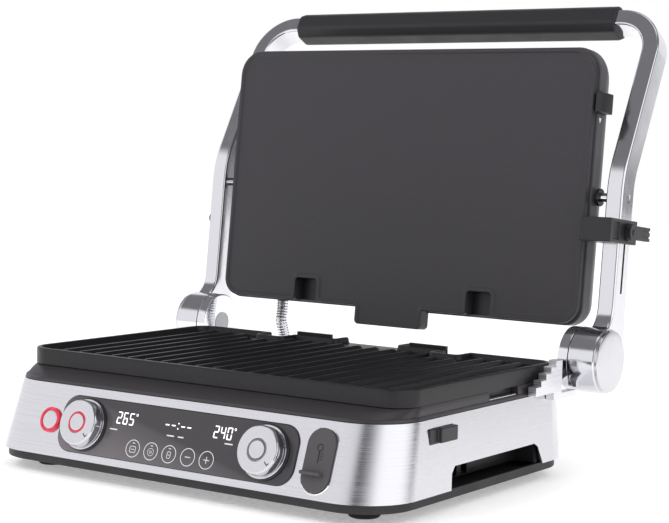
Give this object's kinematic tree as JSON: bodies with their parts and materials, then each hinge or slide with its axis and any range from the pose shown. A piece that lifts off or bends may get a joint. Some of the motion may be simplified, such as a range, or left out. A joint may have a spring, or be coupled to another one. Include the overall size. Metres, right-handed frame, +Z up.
{
  "type": "panini press",
  "caption": "Large contact grill with a steel-banded base, removable non-stick plates, a floating upper plate on two arms, a full-width grip, front controls and a height-setting slider.",
  "frame": {"origin": "on the worktop, under the centre of the base's bottom outline", "axes": "+X to the cook's right, -Y towards the cook (the control side), +Z up; drawn with the cover standing open"},
  "size_m": [0.4454, 0.4255, 0.3891],
  "materials": {
    "brushed_steel": "brushed stainless sheet",
    "polished_steel": "polished",
    "arm_metal": "brushed and polished casting",
    "nonstick": "dark non-stick coating on cast aluminium",
    "black_plastic": "fine moulded texture",
    "cover_plastic": "satin moulded",
    "panel": "smoked satin panel",
    "display": "display carrier",
    "circuit_board": "solder mask",
    "knob_metal": "spun face, polished side",
    "red_light": "lit translucent ring",
    "grey_light": "unlit translucent ring",
    "rubber": "matte",
    "flap_rubber": "satin moulded",
    "sheathed_element": "heat-dulled steel sheath",
    "reflector_steel": "pressed aluminised sheet",
    "brass": "turned",
    "zinc_steel": "zinc plated",
    "spring_steel": "oiled spring wire"
  },
  "bodies": {
    "base": {"steel_band": "brushed_steel", "bottom_pan": "black_plastic", "collar": "black_plastic", "rubber_feet": "rubber", "base_screws": "zinc_steel", "lower_element": "sheathed_element", "lower_reflector": "reflector_steel", "lower_sensor": "brass", "control_panel": "panel", "display_module": "display", "control_board": "circuit_board", "power_board": "circuit_board", "power_light_ring": "red_light", "left_bezel": "black_plastic", "left_light_ring": "red_light", "left_encoder": "black_plastic", "right_bezel": "black_plastic", "right_light_ring": "grey_light", "right_encoder": "black_plastic", "probe_socket": "black_plastic", "left_grip_liner": "black_plastic", "right_grip_liner": "black_plastic", "left_hinge_bracket": "arm_metal", "right_hinge_bracket": "arm_metal", "hinge_pins": "zinc_steel", "hinge_springs": "spring_steel", "height_rack": "arm_metal", "mains_gland": "rubber", "conduit_gland": "rubber", "cable_conduit": "polished_steel"},
    "lower_plate": {"lower_plate": "nonstick"},
    "drip_tray": {"drip_tray": "cover_plastic"},
    "socket_cover": {"socket_cover": "flap_rubber"},
    "power_button": {"power_button": "knob_metal"},
    "left_knob": {"left_knob": "knob_metal"},
    "right_knob": {"right_knob": "knob_metal"},
    "left_start_button": {"left_start_button": "knob_metal"},
    "right_start_button": {"right_start_button": "knob_metal"},
    "plate_latch": {"lower_release_button": "black_plastic", "lower_latch": "zinc_steel"},
    "arms": {"left_arm": "arm_metal", "right_arm": "arm_metal", "left_end_cap": "arm_metal", "right_end_cap": "arm_metal", "grip": "cover_plastic", "grip_core": "zinc_steel"},
    "flat_release_button": {"flat_release_button": "black_plastic"},
    "height_slider": {"height_slider": "black_plastic"},
    "slider_lever": {"slider_lever": "black_plastic"},
    "cover": {"cover_shell": "cover_plastic", "cover_frame": "black_plastic", "cover_pins": "polished_steel", "cover_screws": "zinc_steel", "upper_element": "sheathed_element", "upper_reflector": "reflector_steel", "upper_sensor": "brass"},
    "upper_plate": {"upper_plate": "nonstick"},
    "upper_release_clip": {"upper_release_clip": "black_plastic"}
  },
  "joints": [
    {"name": "cover_hinge", "type": "hinge", "parent": "base", "child": "arms", "pos_m": [0, 0.1504, 0.09345], "axis": [1, 0, 0], "range_deg": [-84.2, 95.8], "deforming": ["cable_conduit"]},
    {"name": "cover_float", "type": "hinge", "parent": "arms", "child": "cover", "pos_m": [0, 0.18219, 0.22531], "axis": [-1, 0, 0], "range_deg": [-6, 0]},
    {"name": "height_slide", "type": "slide", "parent": "arms", "child": "height_slider", "axis": [0, 0.1011, 0.9949], "range_m": [-0.046, 0]},
    {"name": "slider_lever_pivot", "type": "hinge", "parent": "height_slider", "child": "slider_lever", "pos_m": [0.218, 0.17838, 0.19776], "axis": [1, 0, 0], "range_deg": [0, 15], "stiffness_Nm_per_rad": 0.05},
    {"name": "flat_release_press", "type": "slide", "parent": "arms", "child": "flat_release_button", "axis": [1, 0, 0], "range_m": [0, 0.003], "stiffness_N_per_m": 400},
    {"name": "upper_plate_lift", "type": "slide", "parent": "cover", "child": "upper_plate", "axis": [0, 0.9949, -0.1011], "range_m": [-0.05, 0]},
    {"name": "upper_clip_press", "type": "slide", "parent": "cover", "child": "upper_release_clip", "axis": [-1, 0, 0], "range_m": [0, 0.0015], "stiffness_N_per_m": 400},
    {"name": "lower_plate_lift", "type": "slide", "parent": "base", "child": "lower_plate", "axis": [0, 0, -1], "range_m": [-0.05, 0]},
    {"name": "plate_latch_press", "type": "slide", "parent": "base", "child": "plate_latch", "axis": [-1, 0, 0], "range_m": [0, 0.003], "stiffness_N_per_m": 400},
    {"name": "drip_tray_slide", "type": "slide", "parent": "base", "child": "drip_tray", "axis": [0, 1, 0], "range_m": [0, 0.09]},
    {"name": "socket_cover_hinge", "type": "hinge", "parent": "base", "child": "socket_cover", "pos_m": [0.1355, -0.13061, 0.06478], "axis": [-1, 0, 0], "range_deg": [0, 88]},
    {"name": "left_knob_turn", "type": "hinge", "parent": "base", "child": "left_knob", "pos_m": [-0.0866, -0.1382, 0.04253], "axis": [0, -0.9437, 0.3308], "continuous": true},
    {"name": "right_knob_turn", "type": "hinge", "parent": "base", "child": "right_knob", "pos_m": [0.0882, -0.1382, 0.04253], "axis": [0, -0.9437, 0.3308], "continuous": true},
    {"name": "left_start_press", "type": "slide", "parent": "base", "child": "left_start_button", "axis": [0, 0.9437, -0.3308], "range_m": [0, 0.0015], "stiffness_N_per_m": 400},
    {"name": "right_start_press", "type": "slide", "parent": "base", "child": "right_start_button", "axis": [0, 0.9437, -0.3308], "range_m": [0, 0.0015], "stiffness_N_per_m": 400},
    {"name": "power_press", "type": "slide", "parent": "base", "child": "power_button", "axis": [0, 0.9437, -0.3308], "range_m": [0, 0.0015], "stiffness_N_per_m": 400}
  ]
}
